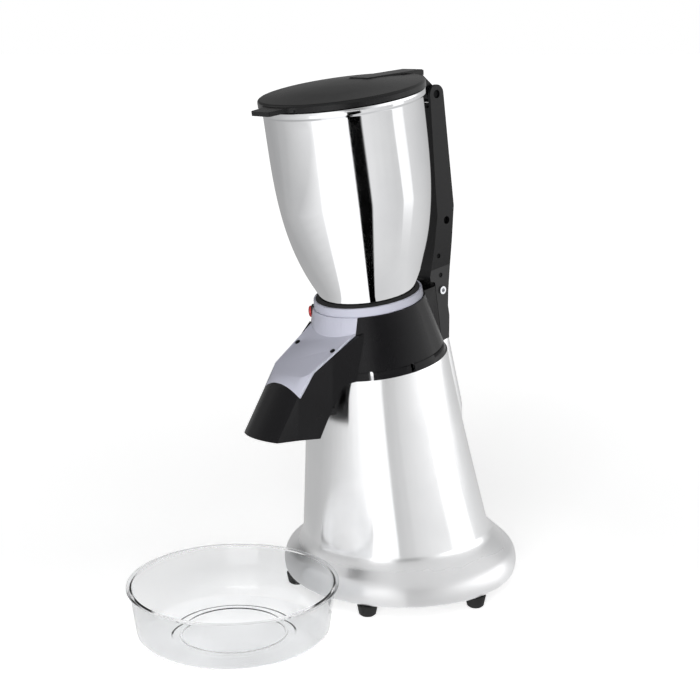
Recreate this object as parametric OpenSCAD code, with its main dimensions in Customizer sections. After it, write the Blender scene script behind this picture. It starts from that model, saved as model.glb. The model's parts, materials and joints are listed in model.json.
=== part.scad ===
// Free-standing shaved ice machine with a leaning hopper, a sloping spout and a catch bowl.
// Millimetres, +Z up, front towards -Y. The origin is the centre of the foot ring on the table.

/* [Axis] */
// Lean of the motor, collar and hopper axis towards the front, in degrees
axis_lean = 9.8; // [9.6:0.1:10]
// Where that axis meets the table, behind the origin
axis_foot_y = 5.8; // [5.4:0.1:6.2]

/* [Base] */
// Outer radius of the foot ring
ring_r = 115; // [114:0.5:116]
// Height of the foot ring's lower edge above the table
ring_low_z = 11.5; // [11:0.25:12]
// Lean of the column's own cone, in degrees
column_lean = 8.2; // [7.8:0.1:8.6]
// Radius that the column gains per millimetre downwards
column_taper = 0.137; // [0.13:0.001:0.145]
// Fillet between the column and the foot ring
column_fillet = 19.5; // [15:0.5:22]
// Radius of a rubber foot at its top
foot_r = 10; // [8.5:0.5:10.5]

/* [Collar] */
// Outer radius of the collar at its lower edge
collar_low_r = 67; // [66.5:0.1:67.5]
// Outer radius of the collar at its upper edge
collar_top_r = 53; // [52.5:0.1:53.5]
// Wall of the collar and the spout
collar_wall = 3; // [2.5:0.1:3.2]

/* [Spout] */
// Fall of the cover's upper panel below the level, in degrees
panel_tilt = 32.6; // [32:0.1:33]
// Fall of the spout's nose below the level, in degrees
nose_tilt = 57.8; // [57:0.1:58.5]
// Length of the nose from the bend to the outlet
nose_length = 67.8; // [64:0.2:70]
// Half width of the nose
nose_half = 25.2; // [24.5:0.1:26]
// Depth of the outlet from front to back
outlet_depth = 47; // [45:0.5:49]
// How far the front of the nose bulges
nose_bulge = 7; // [5:0.5:8]
// Thickness of the cover
cover_wall = 1.6; // [1.4:0.1:2]
// Rise of the cover's arched lower edge
arch_rise = 6.2; // [5:0.1:8]

/* [Hopper] */
// Outer radius of the hopper's mouth, where it meets the collar
mouth_r = 44.1; // [43.8:0.1:44.3]
// Outer radius of the hopper's wall near the top
hopper_r = 72.3; // [71.5:0.1:73]
// Outer radius of the rim band
rim_r = 74.8; // [74.5:0.1:75.2]
// Sheet thickness
sheet = 1.2; // [1:0.1:1.4]

/* [Lid] */
// Radius of the lid
lid_r = 75.6; // [75.2:0.1:76.4]
// Height of the dome above the lid's edge
dome_h = 5; // [3:0.5:6]
// Half width of the grip tab
tab_half = 13; // [11:0.5:15]
// How far the lid opens, in degrees
lid_open = 105; // [90:1:110]

/* [Post] */
// Half width of the post
post_half = 15; // [14.5:0.1:15.5]
// Thickness of a post shell's cheek
cheek = 3; // [2.5:0.1:3.4]
// Radius of the hinge pin
pin_r = 3.9; // [3.5:0.1:4.1]
// Travel of the interlock rod
rod_travel = 3; // [2:0.1:3]

/* [Cutter] */
// Radius of the cutter disc
disc_r = 43.4; // [42.5:0.1:43.6]
// Number of knives
knife_count = 3; // [3:1:3]
// Number of ejector vanes
vane_count = 4; // [3:1:5]

/* [Bowl] */
// Radius of the bowl over its lip
bowl_r = 95.5; // [94:0.5:96]
// Height of the bowl
bowl_h = 48.5; // [46:0.5:50]
// Distance of the bowl's centre in front of the origin
bowl_y = 206; // [206:0.5:212]

/* [Hidden] */
$fn = 96;
eps = 0.01;
facets = 60;
black = [0.09, 0.09, 0.1];
lavender = [0.66, 0.66, 0.73];
steel = [0.75, 0.76, 0.78];
polished = [0.86, 0.87, 0.89];

// Levels along the leaning axis
deck_low = 222;
boss_top = 228;
deck_top = 234;
spigot_top = 247;
floor_top = 250;
collar_top = 290;
clamp_top = 298;
hopper_low = 296.5;
rim_low = 473;
rim_top = 481;
lid_low = 481.9;
lid_edge = 488.5;

// Foot ring and column
column_foot_y = 1.6;
column_ref_s = 235;
boss_y = 76.3;
boss_r = 15;
ring_corner = 4;
cover_top = ring_low_z + 2.5;
ring_wall_top = 27;
ring_draft = 1.6;
shoulder_r = 13;
shoulder_turn = 48;
cavity_wall = 5.5;
feet_circle = 104.3;
gland_y = 112.6;
gland_z = 23.5;
capacitor_at = [-30, 58, cover_top + 16.05];
feet_angles = [for (i = [0 : 5]) 30 + 60 * i];

// Spout, in the middle plane as [y, z]
bend = [-136, 233.5];
panel_dir = [-cos(panel_tilt), -sin(panel_tilt)];
nose_dir = [-cos(nose_tilt), -sin(nose_tilt)];
nose_out = [-sin(nose_tilt), cos(nose_tilt)];
tip = bend + nose_length * nose_dir;
heel = tip + [outlet_depth, -4.2];
heel_rise = [cos(63.2), sin(63.2)];
heel_top = heel + 46.6 * heel_rise;
lip = ahead(collar_low_r + 0.1, deck_top) - heel_top;
flare_y = -114;
flare_half = 38;
bend_r = 30;
bulge_r = (nose_half * nose_half + nose_bulge * nose_bulge) / (2 * nose_bulge);
arch_drop = 23.2;
arch_r = (nose_half * nose_half + arch_rise * arch_rise) / (2 * arch_rise);
crease_half = 31.6;
crease_y = -87.5;
arch_y = -148.2;
cover_screw = [25, -109.2];

// Groove round the collar
ledge_r = collar_low_r - 2.3;

// Chamber
spigot_r = 60.4;
liner_r = 46;
liner_in = 44.5;
shaft_r = 7.5;
shaft_fit = 0.05;
seal_r = 13;
bearing_r = 17.5;

// Post and hinge, in the leaning frame as [y, s]
pin_at = [101.9, 463.5];
bolt_at = [81.1, 277.6];
clamp_hole = [97.1, 343.4];
switch_holes = [[81.5, 311.8], [81.3, 292.7]];
rod_aim = 5.34;
cam_r = 8;
rod_gap = 0.3;
rod_half = 3;
switch_top = 146.5;
switch_half = 5.2;
post_wall = 2.5;
wall_low = 292;
wall_high = 452;

// Start button
button_turn = 52;
button_s = 282.5;
button_r = 5.4;
button_face = 59;

function unit(v) = v / norm(v);
function meet(p, d, q, e) = p + d * cross(q - p, e) / cross(d, e);
function arc(c, r, a0, a1, n) =
    [for (i = [0 : n]) c + r * [cos(a0 + (a1 - a0) * i / n), sin(a0 + (a1 - a0) * i / n)]];
// Moves each side of an anticlockwise outline inwards by its own distance
function inset(pts, d) =
    [for (i = [0 : len(pts) - 1])
        let (
            n = len(pts),
            h = (i + n - 1) % n,
            u = unit(pts[i] - pts[h]),
            v = unit(pts[(i + 1) % n] - pts[i])
        )
        meet(pts[i] + d[h] * [-u[1], u[0]], u, pts[i] + d[i] * [-v[1], v[0]], v)];

// Sets its children on the leaning axis
module leaning() {
    translate([0, axis_foot_y, 0]) rotate([axis_lean, 0, 0]) children();
}

// Extrudes a [y, z] outline along X
module across(x0, x1) {
    translate([x0, 0, 0]) rotate([90, 0, 90]) linear_extrude(x1 - x0) children();
}

// A round bar along X through a [y, z] point
module cross_bar(at, r, x0, x1) {
    translate([x0, at[0], at[1]]) rotate([0, 90, 0]) cylinder(r = r, h = x1 - x0);
}

module ring_of(angles, r) {
    for (a = angles) rotate([0, 0, a]) translate([0, -r, 0]) children();
}

module tube(r_out, r_in, s0, s1) {
    translate([0, 0, s0]) difference() {
        cylinder(r = r_out, h = s1 - s0);
        translate([0, 0, -1]) cylinder(r = r_in, h = s1 - s0 + 2);
    }
}

// Radius of the column's cone at a distance along its axis
function column_r(s) = collar_low_r + column_taper * (column_ref_s - s);
// Distance of the column's skin from the Z axis at a height, in a direction
function skin(a, z) =
    let (c = column_foot_y - z * tan(column_lean), r = column_r(z / cos(column_lean)))
    c * sin(a) + sqrt(r * r - pow(c * cos(a), 2));

// Outline of the casting in one half plane: ring edge, wall, shoulder, fillet, column
function casting_outline(a) =
    let (
        wall_r = ring_r - ring_draft,
        corner = arc([ring_r - ring_corner, ring_low_z + ring_corner], ring_corner, -90, 0, 3),
        shoulder_c = [wall_r - shoulder_r, ring_wall_top],
        shoulder = arc(shoulder_c, shoulder_r, 0, shoulder_turn, 4),
        slope = [-sin(shoulder_turn), cos(shoulder_turn)],
        low = [skin(a, 60), 60],
        rise = unit([skin(a, 225), 225] - low),
        lean_in = atan2(-rise[0], rise[1]),
        start = shoulder[4] + column_fillet * [slope[1], -slope[0]],
        side = low + column_fillet * [rise[1], -rise[0]],
        centre = meet(start, slope, side, rise),
        fillet = arc(centre, column_fillet, 180 + shoulder_turn, 180 + lean_in, 5),
        k = axis_foot_y - low[0] * sin(a),
        z_top = (deck_top - (k + rise[0] / rise[1] * low[1] * sin(a)) * sin(axis_lean))
            / (cos(axis_lean) - rise[0] / rise[1] * sin(a) * sin(axis_lean)),
        top = low + rise * (z_top - low[1]) / rise[1]
    )
    concat(corner, shoulder, fillet, [top]);

module casting_skin() {
    rows = [for (i = [0 : facets - 1]) casting_outline(360 * i / facets)];
    n = len(rows[0]);
    points = [for (i = [0 : facets - 1]) for (p = rows[i])
        [p[0] * cos(360 * i / facets), p[0] * sin(360 * i / facets), p[1]]];
    sides = [for (i = [0 : facets - 1]) for (j = [0 : n - 2])
        let (m = (i + 1) % facets)
        each [[i * n + j, i * n + j + 1, m * n + j + 1], [i * n + j, m * n + j + 1, m * n + j]]];
    under = [for (i = [0 : facets - 1]) i * n];
    over = [for (i = [facets - 1 : -1 : 0]) i * n + n - 1];
    polyhedron(points, concat(sides, [under, over]));
}

// Column's own leaning axis
module column_axis() {
    translate([0, column_foot_y, 0]) rotate([column_lean, 0, 0]) children();
}

module base_casting() {
    color(polished) difference() {
        union() {
            difference() {
                union() {
                    casting_skin();
                    // Boss behind the collar, under the post, with a sloping lower end
                    leaning() translate([0, boss_y, boss_top]) rotate([186.4, 0, 0]) difference() {
                        cylinder(r = boss_r, h = 115);
                        translate([-20, -boss_r, 64]) rotate([-26.6, 0, 0])
                            translate([0, -60, -20]) cube([40, 60, 140]);
                    }
                    leaning() tube(spigot_r, 55, deck_top - eps, spigot_top);
                }
                rotate_extrude() polygon([
                    [0, 0], [ring_r - cavity_wall, 0], [ring_r - cavity_wall, ring_wall_top - 1],
                    [96, 38], [0, 38]
                ]);
                column_axis() translate([0, 0, 20])
                    cylinder(r1 = column_r(20) - cavity_wall, r2 = column_r(214) - cavity_wall, h = 194);
            }
            // Bosses for the foot screws
            ring_of(feet_angles, feet_circle - 3) translate([0, 0, cover_top]) cylinder(r = 8, h = 18);
        }
        leaning() translate([0, 0, deck_low - 30]) cylinder(r = 56, h = 30);
        leaning() translate([0, 0, deck_low - 1]) cylinder(r = 26, h = 20);
        leaning() ring_of([45, 135, 225, 315], 42) translate([0, 0, deck_low - 1]) cylinder(r = 2.7, h = 20);
        ring_of(feet_angles, feet_circle) translate([0, 0, cover_top - 1]) cylinder(r = 2.5, h = 14);
        translate([0, 90, gland_z]) rotate([-90, 0, 0]) cylinder(r = 5.1, h = 40);
        translate([0, 90, gland_z]) rotate([-90, 0, 0]) cylinder(r = 7.6, h = ring_r - cavity_wall - 90);
        translate([0, gland_y, gland_z]) rotate([-90, 0, 0]) cylinder(r = 8, h = 20);
    }
}

module base_cover() {
    vents = [for (i = [-4 : 4]) i * 11];
    color(black) difference() {
        translate([0, 0, ring_low_z]) cylinder(r = ring_r - cavity_wall - 0.5, h = cover_top - ring_low_z);
        ring_of(feet_angles, feet_circle) translate([0, 0, 11]) cylinder(r = 2.7, h = 5);
        for (x = vents) translate([x - 2, -50, 11]) cube([4, 60, 5]);
    }
}

module rubber_feet() {
    color([0.06, 0.06, 0.06]) ring_of(feet_angles, feet_circle) rotate_extrude() polygon(concat(
        [[4.5, 0], [foot_r - 4, 0]],
        arc([foot_r - 4, 2], 2, -90, -12, 4),
        [[foot_r, ring_low_z], [2.7, ring_low_z], [2.7, 5], [4.5, 5]]
    ));
}

module foot_screws() {
    color(steel) ring_of(feet_angles, feet_circle) {
        translate([0, 0, 2]) cylinder(r = 4.3, h = 3);
        translate([0, 0, 5 - eps]) cylinder(r = 2.4, h = 21);
    }
}

module cable_gland() {
    inside = ring_r - cavity_wall;
    color(black) translate([0, 0, gland_z]) rotate([-90, 0, 0]) difference() {
        union() {
            translate([0, 0, inside - 5]) cylinder(r = 5, h = gland_y - inside + 10);
            translate([0, 0, inside - 4]) cylinder(r = 7, h = 4);
            translate([0, 0, gland_y]) cylinder(r = 7.5, h = 4);
            translate([0, 0, gland_y + 4 - eps]) cylinder(r1 = 7.5, r2 = 5.5, h = 2);
        }
        translate([0, 0, inside - 6]) cylinder(r = 3.4, h = 30);
    }
}

module motor_housing() {
    color(steel) leaning() tube(48, 44, 112, 210);
}

module stator_core() {
    color([0.45, 0.45, 0.47]) leaning() tube(44, 25, 128, 190);
}

module stator_windings() {
    color([0.72, 0.4, 0.2]) leaning() for (s = [115, 190]) tube(40, 28, s, s + 13);
}

module upper_bell() {
    color(steel) leaning() difference() {
        rotate_extrude() polygon([
            [12, 210], [52, 210], [52, deck_low], [25.8, deck_low], [25.8, 230], [12, 230],
            [12, 228], [bearing_r, 228], [bearing_r, 217], [12, 217]
        ]);
        ring_of([45, 135, 225, 315], 42) translate([0, 0, 209]) cylinder(r = 2.5, h = 14);
    }
}

module lower_bell() {
    color(steel) leaning() rotate_extrude() polygon([
        [12, 99], [46, 99], [48, 101], [48, 112], [bearing_r, 112], [bearing_r, 101], [12, 101]
    ]);
}

module motor_screws() {
    color(steel) leaning() ring_of([45, 135, 225, 315], 42) {
        translate([0, 0, 211]) cylinder(r = 2.5, h = deck_top - 211 + eps);
        translate([0, 0, deck_top]) cylinder(r = 4.2, h = 3.5);
    }
}

module bearings() {
    color(steel) leaning() {
        tube(bearing_r, shaft_r + shaft_fit, 217, 228);
        tube(bearing_r, shaft_r + shaft_fit, 101, 112);
    }
}

module run_capacitor() {
    color([0.8, 0.8, 0.78]) translate(capacitor_at) rotate([0, 90, 0]) {
        cylinder(r = 16, h = 60);
        translate([0, 0, 60 - eps]) cylinder(r = 10, h = 4);
    }
}

// Bridge over the capacitor with a foot on either side
module capacitor_clip() {
    low = cover_top - capacitor_at[2];
    gap = 16.05;
    out = gap + 1.5;
    foot = 27;
    color(steel) translate(capacitor_at + [24, 0, 0]) difference() {
        across(0, 12) polygon([
            [-foot, low], [-gap, low], [-gap, gap], [gap, gap], [gap, low], [foot, low], [foot, low + 1.5],
            [out, low + 1.5], [out, out], [-out, out], [-out, low + 1.5], [-foot, low + 1.5]
        ]);
        for (y = [-22, 22]) translate([6, y, low - 1]) cylinder(r = 1.8, h = 4);
    }
}

module chamber_floor() {
    color(steel) leaning() tube(spigot_r - 0.7, seal_r, spigot_top, floor_top);
}

module shaft_seal() {
    color([0.2, 0.12, 0.1]) leaning() rotate_extrude() polygon([
        [shaft_r + shaft_fit, 244], [seal_r, 244], [seal_r, 250.8], [shaft_r + 1.5, 251.4],
        [shaft_r + shaft_fit, 250.4]
    ]);
}

// Roof of the spout in the middle plane, set in by d: panel, bend, nose down to a level under the outlet
function spout_roof(d, under) =
    let (
        corner = bend + panel_dir * nose_bulge / sin(nose_tilt - panel_tilt),
        from = corner - panel_dir * bend_r * tan((nose_tilt - panel_tilt) / 2),
        panel_in = [-panel_dir[1], panel_dir[0]],
        centre = from + bend_r * panel_in
    )
    concat(
        [bend - panel_dir * 95 + d * panel_in],
        arc(centre, bend_r - d, 90 + panel_tilt, 90 + nose_tilt, 5),
        [meet(corner - d * nose_out, nose_dir, heel - [0, under], tip - heel)]
    );

// Spout outline in the middle plane, anticlockwise as [y, z], with its roof set in by d
function spout_outline(d) =
    concat(spout_roof(d, 0), [heel, heel_top, heel_top + lip, ahead(40, deck_top)]);

// A point in front of the axis, in the middle plane as [y, z]
function ahead(r, s) =
    [axis_foot_y - r * cos(axis_lean) - s * sin(axis_lean), s * cos(axis_lean) - r * sin(axis_lean)];

// Plan width of the cover, or of the walls when drawn in
module spout_plan(drawn_in) {
    w = nose_half - drawn_in;
    slope = (crease_half - nose_half) / (crease_y - arch_y);
    rear = w + slope * (-40 - arch_y);
    translate([0, 0, 150]) linear_extrude(160)
        polygon([[-w, -200], [w, -200], [w, arch_y], [rear, -40], [-rear, -40], [-w, arch_y]]);
}

// Bulged front of the nose
module bulge(r) {
    centre = tip - nose_out * (bulge_r - nose_bulge);
    translate([0, centre[0], centre[1]]) rotate([nose_tilt - 90, 0, 0])
        cylinder(r = r, h = 400, center = true);
}

module spout_solid(drawn_in) {
    intersection() {
        across(-45, 45) polygon(spout_outline(0));
        spout_plan(drawn_in);
        bulge(bulge_r);
    }
}

// Flare where a side of the spout runs into the collar
module spout_flare() {
    x0 = nose_half + 2;
    intersection() {
        across(0, 60) polygon(spout_outline(cover_wall));
        translate([0, 0, 150]) linear_extrude(160)
            polygon([[x0, flare_y], [flare_half, -84], [x0, -84]]);
    }
}

// Channel of the spout, open at the outlet and into the chamber
module spout_channel() {
    w = collar_wall;
    under = 14;
    back = heel + w * [-heel_rise[1], heel_rise[0]];
    intersection() {
        across(-45, 45) polygon(concat(
            spout_roof(w, under),
            [
                meet(back, heel_rise, heel - [0, under], tip - heel),
                meet(back, heel_rise, heel_top + w * unit([-lip[1], lip[0]]), lip),
                ahead(62.3, 243.2), ahead(liner_in + 1.3, floor_top), ahead(8, floor_top)
            ]
        ));
        spout_plan(1 + w);
        bulge(bulge_r - w);
    }
}

// All that lies under the cover: below the panel's underside, and past the arch
module under_cover() {
    arch = bend + nose_dir * (arch_drop + arch_r - arch_rise);
    intersection() {
        across(-70, 70) polygon(concat(spout_roof(cover_wall, 60), [[-60, 100], [0, 100], [0, 290]]));
        bulge(bulge_r - cover_wall);
    }
    translate([0, arch[0], arch[1]]) rotate([nose_tilt, 0, 0]) {
        cylinder(r = arch_r, h = 80, center = true);
        translate([-70, -200, -60]) cube([140, 200, 120]);
    }
}

// Space that the cover takes
module cover_zone() {
    difference() {
        spout_plan(0);
        under_cover();
    }
}

module collar_solid(drawn_in, s0, s1) {
    k = (collar_low_r - collar_top_r) / (collar_top - deck_top);
    translate([0, 0, s0]) cylinder(
        r1 = collar_low_r - drawn_in - k * (s0 - deck_top),
        r2 = collar_low_r - drawn_in - k * (s1 - deck_top), h = s1 - s0);
}

module collar_bore() {
    leaning() {
        collar_solid(collar_wall, deck_top - 1, collar_top - collar_wall);
        translate([0, 0, collar_top - 10]) cylinder(r = liner_r + 0.3, h = 20);
    }
}

module collar_shell() {
    difference() {
        leaning() collar_solid(0, deck_top, collar_top);
        leaning() tube(collar_low_r + 4, ledge_r, deck_top + 7, deck_top + 7.7);
        collar_bore();
    }
}

module button_frame() {
    leaning() translate([0, 0, button_s]) rotate([0, 0, -button_turn]) rotate([90, 0, 0]) children();
}

// Places its children on the cover's panel, +Z out of it, at a screw
module panel_screw(side) {
    z = bend[1] + (cover_screw[1] - bend[0]) * tan(panel_tilt);
    translate([side * cover_screw[0], cover_screw[1], z]) rotate([panel_tilt, 0, 0]) children();
}

module snap_slot(a) {
    leaning() rotate([0, 0, a]) translate([0, -75, deck_top - 1]) {
        translate([-2, 0, 0]) cube([4, 17, 7]);
        translate([0, 0, 7]) rotate([-90, 0, 0]) cylinder(r = 2, h = 17);
    }
}

module collar_housing() {
    color(black) difference() {
        union() {
            difference() {
                union() {
                    collar_shell();
                    difference() {
                        union() {
                            spout_solid(1);
                            for (m = [0, 1]) mirror([m, 0, 0]) spout_flare();
                        }
                        leaning() translate([0, 0, 230]) {
                            cylinder(r = spigot_r + 0.3, h = floor_top + 0.2 - 230);
                            cylinder(r = liner_r + 0.3, h = 80);
                        }
                    }
                }
                spout_channel();
            }
            // Bosses for the cover screws
            for (side = [-1, 1]) intersection() {
                panel_screw(side) translate([0, 0, -14]) cylinder(r = 3.4, h = 14);
                spout_solid(1);
            }
            // Lug on the spout's back wall
            translate([15, -113, 190.5]) cube([8, 10, 6]);
            // Pad and tongue that carry the post
            leaning() difference() {
                union() {
                    translate([-post_half, 50, 238]) cube([2 * post_half, 22.5, 46]);
                    translate([-(post_half - cheek) + 0.2, 50, 238])
                        cube([2 * (post_half - cheek) - 0.4, 36, 46]);
                }
                collar_solid(1, 230, 290);
                cross_bar(bolt_at, 2.6, -20, 20);
            }
        }
        cover_zone();
        for (side = [-1, 1]) panel_screw(side) translate([0, 0, -13]) cylinder(r = 1.4, h = 14);
        for (a = [44.4, 79.3]) for (m = [-1, 1]) snap_slot(m * a);
        button_frame() translate([0, 0, 47]) cylinder(r = 7, h = 20);
    }
}

module spout_cover() {
    color(lavender) difference() {
        union() {
            difference() {
                spout_solid(0);
                collar_bore();
            }
            intersection() {
                collar_shell();
                spout_plan(0);
            }
        }
        under_cover();
        for (side = [-1, 1]) panel_screw(side) {
            translate([0, 0, -5]) cylinder(r = 1.7, h = 10);
            translate([0, 0, -0.8]) cylinder(r = 2.6, h = 10);
        }
    }
}

module cover_screws() {
    color(steel) for (side = [-1, 1]) panel_screw(side) {
        translate([0, 0, -12]) cylinder(r = 1.4, h = 11.3);
        translate([0, 0, -0.8]) cylinder(r = 2.5, h = 1.1);
    }
}

module clamp_ring() {
    color(lavender) leaning() rotate_extrude() polygon([
        [liner_r + 0.3, collar_top], [51.6, collar_top], [51.2, clamp_top - 0.6], [50.6, clamp_top],
        [49, clamp_top], [49, 295], [liner_r + 0.3, 295]
    ]);
}

module hopper_gasket() {
    color(black) leaning() rotate_extrude() polygon([
        [42.9, 295], [49, 295], [49, 298.3], [45.3, 300], [44.9, 299.4], [44.4, 297.8],
        [48.6, 297.8], [48.6, hopper_low], [42.9, hopper_low]
    ]);
}

function hopper_wall(s) =
    let (u = min(1, (s - 300) / 155)) hopper_r - (hopper_r - mouth_r) * pow(1 - u, 3);

module hopper() {
    low = hopper_low + 1.3;
    steps = [for (i = [0 : 18]) low + 4 + (452 - low) * i / 18];
    wall = concat(
        [[48.5, hopper_low], [48.5, low], [hopper_wall(low + 1), low]],
        [for (s = steps) [hopper_wall(s), s]],
        [[hopper_r, rim_low - 3], [rim_r, rim_low], [rim_r, rim_top]]
    );
    inner = concat(
        [[rim_r - sheet, rim_top], [rim_r - sheet, rim_low + 0.4], [hopper_r - sheet, rim_low - 2.6]],
        [for (i = [18 : -1 : 0]) [hopper_wall(steps[i]) - sheet, steps[i] + 0.2]],
        [[mouth_r - sheet, hopper_low]]
    );
    color(polished) leaning() rotate_extrude() polygon(concat(wall, inner));
}

// Outline of a post shell's cheek, anticlockwise as [y, s]
function cheek_outline() = [
    [73, boss_top], [83.5, boss_top], [87.2, 250], [86.8, 260.5], [89.4, 275], [93.9, 294], [101.3, 322.4],
    [108.8, 355], [110.9, 463.5], [93.4, 463.5], [87.1, 375], [85.9, 351.4], [76.5, 319], [67.3, 294.8],
    [67.3, 290], [73, 287.5]
];

module post_shell(side) {
    pts = cheek_outline();
    inner = inset(pts, [for (p = pts) post_wall]);
    in_x = post_half - cheek;
    x0 = side > 0 ? in_x : -post_half;
    w0 = side > 0 ? eps : -in_x - eps;
    w1 = side > 0 ? in_x + eps : -eps;
    b0 = side > 0 ? switch_half + 0.05 : -in_x - eps;
    b1 = side > 0 ? in_x + eps : -switch_half - 0.05;
    leaning() difference() {
        union() {
            across(x0, x0 + cheek) polygon(pts);
            cross_bar([pin_at[0] + 0.25, pin_at[1]], 8.75, x0, x0 + cheek);
            intersection() {
                across(w0, w1) difference() {
                    polygon(pts);
                    polygon(inner);
                }
                translate([-20, 50, wall_low]) cube([40, 80, wall_high - wall_low]);
            }
            if (side < 0) cross_bar(clamp_hole, 3.6, -in_x - eps, 8.8);
            // Bosses that hold the switch
            for (at = switch_holes) cross_bar(at, 3.8, b0, b1);
        }
        cross_bar(pin_at, pin_r, -20, 20);
        cross_bar(bolt_at, 2.6, -20, 20);
        for (at = switch_holes) {
            cross_bar(at, 1.6, -20, 20);
            cross_bar(at, 2.35, post_half - 2, 20);
            cross_bar(at, 2.35, -20, 2 - post_half);
        }
        cross_bar(clamp_hole, side > 0 ? 3.75 : 2, side > 0 ? 5 : -11, 20);
    }
}

module right_post() {
    color(black) post_shell(1);
}

module left_post() {
    color(black) post_shell(-1);
}

module post_bolt() {
    color(steel) leaning() difference() {
        union() {
            cross_bar(bolt_at, 2.5, -post_half, post_half);
            cross_bar(bolt_at, 3.9, post_half, post_half + 1.6);
            cross_bar(bolt_at, 3.9, -post_half - 1.6, -post_half);
        }
        translate([post_half - 1, bolt_at[0], bolt_at[1]]) rotate([0, 90, 0])
            cylinder(r = 2.1, h = 4, $fn = 6);
    }
}

module post_screw() {
    color(steel) leaning() {
        cross_bar(clamp_hole, 1.95, -10, 9);
        cross_bar(clamp_hole, 3.3, 9 - eps, 11.5);
    }
}

module hinge_pin() {
    color(steel) leaning() cross_bar(pin_at, pin_r, -post_half + 1.8, post_half - 1.8);
}

// Frame on the hinge pin with -Z along the interlock rod
module rod_frame() {
    leaning() translate([0, pin_at[0], pin_at[1]]) rotate([-rod_aim, 0, 0]) children();
}

module lid_switch() {
    color([0.15, 0.15, 0.16]) difference() {
        rod_frame() difference() {
            translate([-switch_half, -9, -switch_top - 31]) cube([2 * switch_half, 13.5, 31]);
            translate([0, 0, -switch_top - 10]) cylinder(r = 1.8, h = 12);
        }
        leaning() for (at = switch_holes) cross_bar(at, 1.6, -20, 20);
    }
}

module switch_screws() {
    color(steel) leaning() for (at = switch_holes) for (m = [0, 1]) mirror([m, 0, 0]) {
        cross_bar(at, 1.5, 1, post_half - 2 + eps);
        cross_bar(at, 2.25, post_half - 2, post_half - 0.8);
    }
}

module interlock_rod() {
    low = 4 - switch_top;
    color([0.85, 0.85, 0.82]) rod_frame() {
        translate([-rod_half, -2, low]) cube([2 * rod_half, 4, -low - cam_r - rod_gap - 2]);
        translate([-rod_half, 0, -cam_r - rod_gap - 2]) rotate([0, 90, 0]) cylinder(r = 2, h = 2 * rod_half);
    }
}

module switch_plunger() {
    color([0.7, 0.15, 0.12]) rod_frame()
        translate([0, 0, -switch_top - 5]) cylinder(r = 1.5, h = 9);
}

// Cam on the lid's arm: its radius falls evenly with the lid's angle
function cam_outline() =
    let (aim = -90 - rod_aim, lead = 15, n = 20)
    [for (i = [0 : n])
        let (t = -lead + (lid_open + 2 * lead) * i / n, u = max(0, min(1, t / lid_open)))
        pin_at + (cam_r - rod_travel * u) * [cos(aim + t), sin(aim + t)]];

module lid() {
    plug_r = hopper_r - 2.8;
    arm_half = 9.5;
    spine_half = 12;
    color(black) leaning() difference() {
        union() {
            rotate_extrude() polygon(concat(
                [[0, lid_edge + dome_h - 3], [40, lid_edge + dome_h * 0.75 - 3], [plug_r - 2.5, 485.4]],
                [[plug_r - 2.5, 475.5], [plug_r, 475.5], [plug_r, lid_low]],
                [[lid_r, lid_low]],
                arc([lid_r - 2.5, lid_edge - 2.5], 2.5, 0, 90, 4),
                [for (i = [1 : 6]) let (r = (lid_r - 4) * (6 - i) / 6)
                    [r, lid_edge - 0.6 + (dome_h + 0.6) * (1 - pow(r / (lid_r - 4), 2))]]
            ));
            // Grip tab
            translate([0, 0, lid_low + 0.6]) linear_extrude(4) polygon([
                [-tab_half - 8, -60], [-tab_half - 8, -74], [-tab_half - 2, -78], [-tab_half, -91.5],
                [-tab_half + 1.5, -93], [tab_half - 1.5, -93], [tab_half, -91.5], [tab_half + 2, -78],
                [tab_half + 8, -74], [tab_half + 8, -60]
            ]);
            // Raised spine and hinge arm
            across(-spine_half, spine_half) polygon(concat(
                [[18, lid_edge], [70, lid_low + 2], [91, lid_low + 1.5]],
                arc([88, 487.5], 3.5, -20, 90, 4),
                [[22, lid_edge + dome_h + 0.3]]
            ));
            across(-arm_half, arm_half) polygon([
                [80, 483], pin_at + [-7, 0], pin_at + [5, 4], [91.3, 484]
            ]);
            across(-arm_half, arm_half) polygon(cam_outline());
            cross_bar(pin_at, cam_r - rod_travel, -arm_half, arm_half);
            for (x = [-arm_half, rod_half + 0.6]) cross_bar(pin_at, 7, x, x + arm_half - rod_half - 0.6);
        }
        cross_bar(pin_at, pin_r + shaft_fit, -20, 20);
    }
}

module liner_window() {
    intersection() {
        spout_channel();
        leaning() translate([0, 0, 240]) cylinder(r = 90, h = 34);
    }
}

module chamber_liner() {
    color(steel) difference() {
        leaning() {
            tube(liner_r, liner_in, floor_top, 294.8);
            ring_of([60, 120, 180, 240, 300], liner_in - 1.4) translate([-1.5, -1.6, 283])
                cube([3, 4, 11.8]);
        }
        liner_window();
    }
}

module button_bezel() {
    color(black) button_frame() tube(6.9, button_r + 0.3, 50, 55.2);
}

module start_button() {
    color([0.72, 0.1, 0.1]) button_frame() rotate_extrude() polygon(concat(
        [[0, 51.6], [2.4, 51.6], [2.4, 53], [button_r, 53]],
        arc([0, button_face - 12.5], 12.5, acos(button_r / 12.5), 90, 6)
    ));
}

module button_switch() {
    color([0.15, 0.15, 0.16]) button_frame() translate([-5.5, -4, 46.3]) cube([11, 8, 3]);
}

module motor_shaft() {
    color(steel) leaning() rotate_extrude() polygon([
        [0, 70], [shaft_r - 0.6, 70], [shaft_r, 70.6], [shaft_r, 252.4], [6, 252.4], [6, 283.5],
        [4.8, 284.5], [0, 284.5]
    ]);
}

module rotor_core() {
    color([0.5, 0.5, 0.52]) leaning() tube(24.4, shaft_r, 128, 190);
}

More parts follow.
